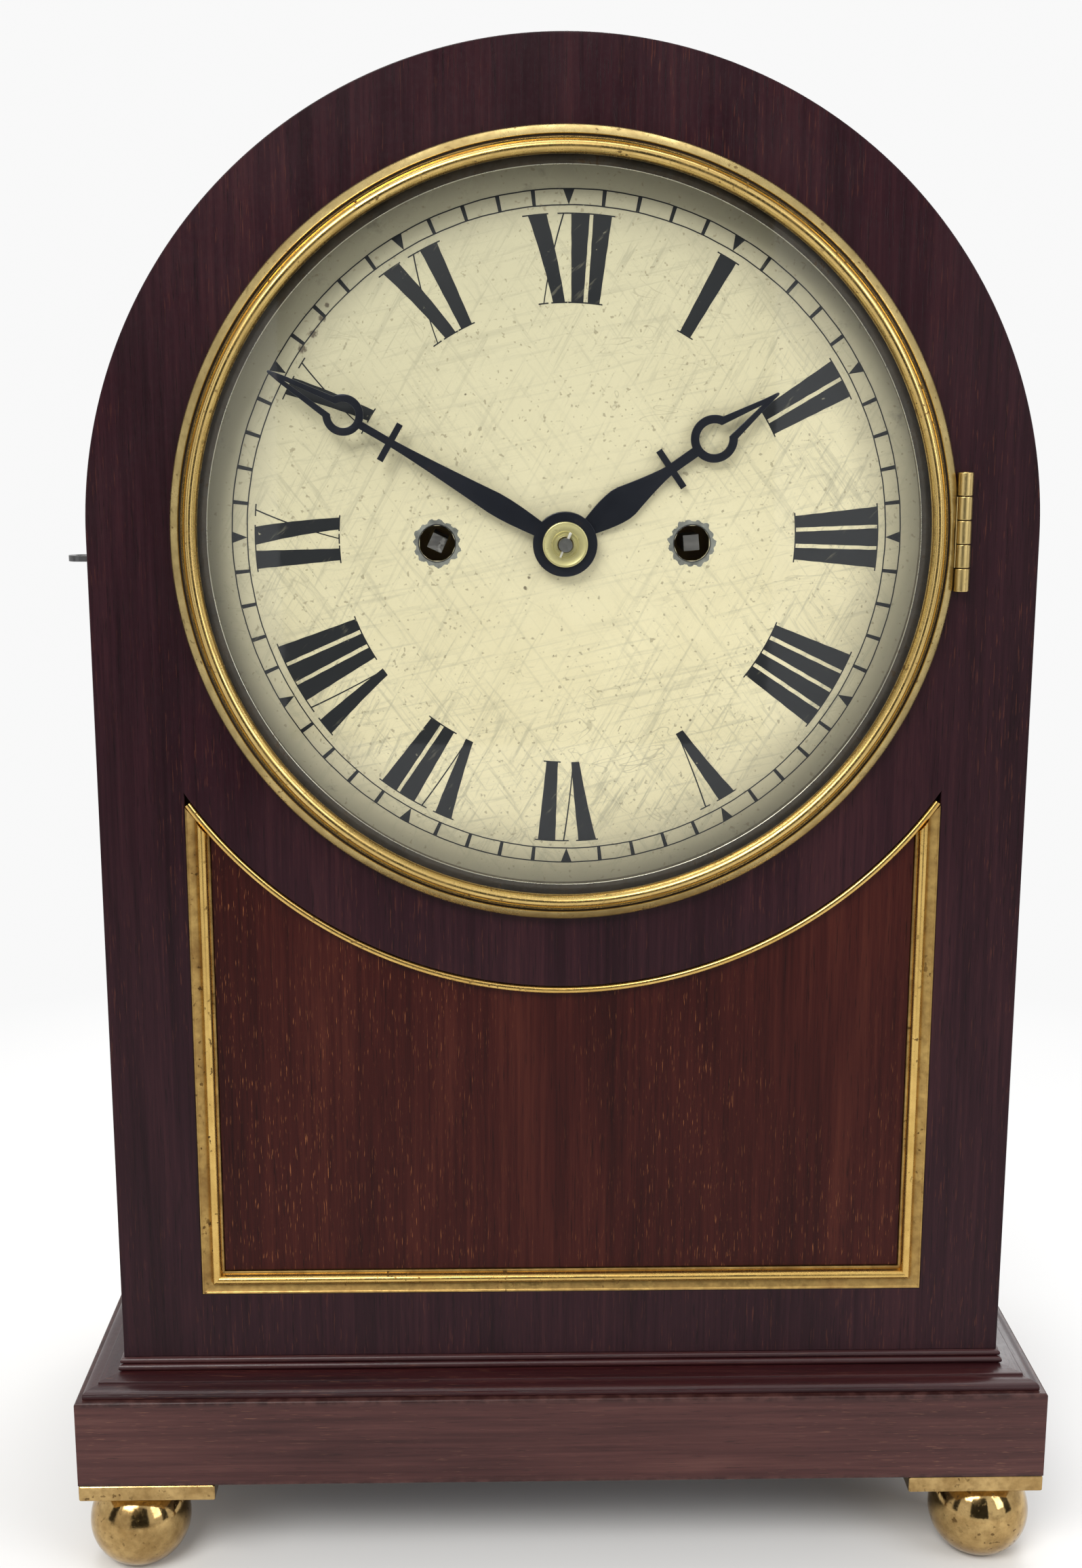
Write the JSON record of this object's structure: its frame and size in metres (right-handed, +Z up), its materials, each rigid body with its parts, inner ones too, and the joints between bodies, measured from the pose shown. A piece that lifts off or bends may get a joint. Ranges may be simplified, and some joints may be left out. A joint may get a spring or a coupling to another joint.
{
  "type": "bracket clock",
  "caption": "Arched-top mahogany bracket clock on brass ball feet: domed dial behind a hinged brass bezel, fusee striking movement with pendulum and bell.",
  "frame": {"origin": "on the resting surface, under the middle of the clock's overall width and depth", "axes": "+X to the viewer's right, +Y from the dial back into the case, +Z up"},
  "size_m": [0.285, 0.1816, 0.4375],
  "materials": {
    "mahogany": "deep red-brown mahogany, french polished and aged, open pores",
    "panel_mahogany": "figured mahogany veneer, slightly redder, polished",
    "carcass_wood": "plain oak, unpolished inside the case",
    "cast_brass": "cast and lacquered brass, worn, with brown age spots",
    "movement_brass": "plain brass, smoothed and slightly tarnished",
    "clear_glass": "clear glass",
    "cream_paint": "cream painted iron dial, satin, with fine age lines",
    "blued_steel": "dark blued steel, filed and polished",
    "steel": "plain steel, light oxide",
    "bell_metal": "pale cast bell metal",
    "gut": "twisted gut, amber"
  },
  "bodies": {
    "case": {"case_left_side": "mahogany", "case_right_side": "mahogany", "case_arch_top": "mahogany", "front_board": "mahogany", "base_board": "mahogany", "plinth": "mahogany", "foot_pads": "cast_brass", "ball_feet": "cast_brass", "lower_panel": "panel_mahogany", "panel_strip_left": "cast_brass", "panel_strip_right": "cast_brass", "panel_strip_bottom": "cast_brass", "panel_arc_strip": "cast_brass", "bezel_hinge_fixed_leaf": "cast_brass", "dial": "cream_paint", "back_hinge_fixed_leaves": "cast_brass", "front_plate": "movement_brass", "back_plate": "movement_brass", "seat_board": "carcass_wood", "seat_rails": "carcass_wood", "seat_bolts": "steel", "going_line": "gut", "back_cock": "movement_brass", "strike_line": "gut", "bell": "bell_metal", "bell_stand": "steel"},
    "bezel": {"bezel_ring": "cast_brass", "bezel_glass": "clear_glass", "sight_ring": "cast_brass", "bezel_hinge_moving_leaf": "cast_brass"},
    "back_door": {"back_door_frame": "mahogany", "back_door_glass": "clear_glass", "back_hinge_moving_leaves": "cast_brass"},
    "catch": {"back_door_catch": "cast_brass"},
    "centre_arbor": {"centre_wheel": "movement_brass", "cannon_wheel": "movement_brass", "minute_hand": "blued_steel", "hand_collet": "cast_brass", "hand_taper_pin": "blued_steel"},
    "hour_pipe": {"hour_wheel": "movement_brass", "hour_hand": "blued_steel"},
    "minute_work": {"minute_wheel": "movement_brass"},
    "going_great": {"going_fusee": "movement_brass"},
    "going_spring": {"going_barrel": "movement_brass"},
    "third_arbor": {"third_wheel": "movement_brass"},
    "escape_arbor": {"escape_wheel": "movement_brass"},
    "pallets": {"anchor": "steel"},
    "pendulum": {"suspension_spring": "steel", "pendulum_rod": "steel", "pendulum_bob": "movement_brass", "rating_nut": "movement_brass"},
    "strike_great": {"strike_fusee": "movement_brass"},
    "strike_spring": {"strike_barrel": "movement_brass"},
    "pin_arbor": {"pin_wheel": "movement_brass"},
    "gathering_arbor": {"gathering_wheel": "movement_brass"},
    "fly_arbor": {"fly": "movement_brass"},
    "hammer_arbor": {"hammer": "steel"},
    "lever": {"repeat_lever": "steel"}
  },
  "joints": [
    {"name": "bezel_hinge", "type": "hinge", "parent": "case", "child": "bezel", "pos_m": [0.1083, -0.08055, 0.3089], "axis": [0, 0, 1], "range_deg": [0, 110]},
    {"name": "back_door_hinge", "type": "hinge", "parent": "case", "child": "back_door", "pos_m": [0.1196, 0.08875, 0.246], "axis": [0, 0, -1], "range_deg": [0, 105]},
    {"name": "door_catch", "type": "hinge", "parent": "back_door", "child": "catch", "pos_m": [-0.1087, 0.08675, 0.2475], "axis": [0, -1, 0], "range_deg": [0, 90]},
    {"name": "centre_turn", "type": "hinge", "parent": "case", "child": "centre_arbor", "pos_m": [0, -0.00425, 0.3055], "axis": [0, 1, 0], "continuous": true},
    {"name": "hour_turn", "type": "hinge", "parent": "case", "child": "hour_pipe", "pos_m": [0, -0.05525, 0.3055], "axis": [0, 1, 0], "continuous": true},
    {"name": "minute_work_turn", "type": "hinge", "parent": "case", "child": "minute_work", "pos_m": [0, -0.05525, 0.2845], "axis": [0, 1, 0], "continuous": true},
    {"name": "going_fusee_turn", "type": "hinge", "parent": "case", "child": "going_great", "pos_m": [0.035, -0.04225, 0.3055], "axis": [0, 1, 0], "continuous": true},
    {"name": "going_barrel_turn", "type": "hinge", "parent": "case", "child": "going_spring", "pos_m": [0.048, -0.03925, 0.2535], "axis": [0, 1, 0], "continuous": true},
    {"name": "third_turn", "type": "hinge", "parent": "case", "child": "third_arbor", "pos_m": [0.00727, -0.01425, 0.32916], "axis": [0, 1, 0], "continuous": true},
    {"name": "escape_turn", "type": "hinge", "parent": "case", "child": "escape_arbor", "pos_m": [0, -0.02225, 0.3495], "axis": [0, 1, 0], "continuous": true},
    {"name": "pendulum_swing", "type": "hinge", "parent": "case", "child": "pendulum", "pos_m": [0, 0.02175, 0.369], "axis": [0, 1, 0], "range_deg": [-4, 4]},
    {"name": "pallet_rock", "type": "hinge", "parent": "case", "child": "pallets", "pos_m": [0, 0.00775, 0.369], "axis": [0, 1, 0], "range_deg": [-4, 4]},
    {"name": "pin_wheel_turn", "type": "hinge", "parent": "case", "child": "pin_arbor", "pos_m": [-0.04108, -0.00425, 0.33997], "axis": [0, 1, 0], "continuous": true},
    {"name": "strike_fusee_turn", "type": "hinge", "parent": "case", "child": "strike_great", "pos_m": [-0.035, -0.04225, 0.3055], "axis": [0, 1, 0], "continuous": true},
    {"name": "strike_barrel_turn", "type": "hinge", "parent": "case", "child": "strike_spring", "pos_m": [-0.048, -0.03925, 0.2535], "axis": [0, 1, 0], "continuous": true},
    {"name": "gathering_turn", "type": "hinge", "parent": "case", "child": "gathering_arbor", "pos_m": [-0.04436, -0.01425, 0.35858], "axis": [0, 1, 0], "continuous": true},
    {"name": "fly_turn", "type": "hinge", "parent": "case", "child": "fly_arbor", "pos_m": [-0.05958, -0.01425, 0.35304], "axis": [0, 1, 0], "continuous": true},
    {"name": "hammer_lift", "type": "hinge", "parent": "case", "child": "hammer_arbor", "pos_m": [-0.022, -0.02625, 0.3675], "axis": [0, -1, 0], "range_deg": [0, 14], "stiffness_Nm_per_rad": 0.03, "springref_deg": -11.46},
    {"name": "repeat_pull", "type": "hinge", "parent": "case", "child": "lever", "pos_m": [-0.06, -0.05525, 0.3001], "axis": [0, -1, 0], "range_deg": [0, 6], "stiffness_Nm_per_rad": 0.05, "springref_deg": -17.19}
  ],
  "couplings": [
    {"joint": "hour_turn", "follows": "centre_turn", "ratio": 0.083333},
    {"joint": "minute_work_turn", "follows": "centre_turn", "ratio": -0.66667},
    {"joint": "going_fusee_turn", "follows": "centre_turn", "ratio": -0.1},
    {"joint": "going_barrel_turn", "follows": "centre_turn", "ratio": -0.069565},
    {"joint": "third_turn", "follows": "centre_turn", "ratio": -10},
    {"joint": "escape_turn", "follows": "centre_turn", "ratio": 110},
    {"joint": "pallet_rock", "follows": "pendulum_swing", "ratio": 1},
    {"joint": "strike_fusee_turn", "follows": "pin_wheel_turn", "ratio": -0.1},
    {"joint": "strike_barrel_turn", "follows": "pin_wheel_turn", "ratio": -0.069565},
    {"joint": "gathering_turn", "follows": "pin_wheel_turn", "ratio": -8},
    {"joint": "fly_turn", "follows": "pin_wheel_turn", "ratio": 64}
  ]
}
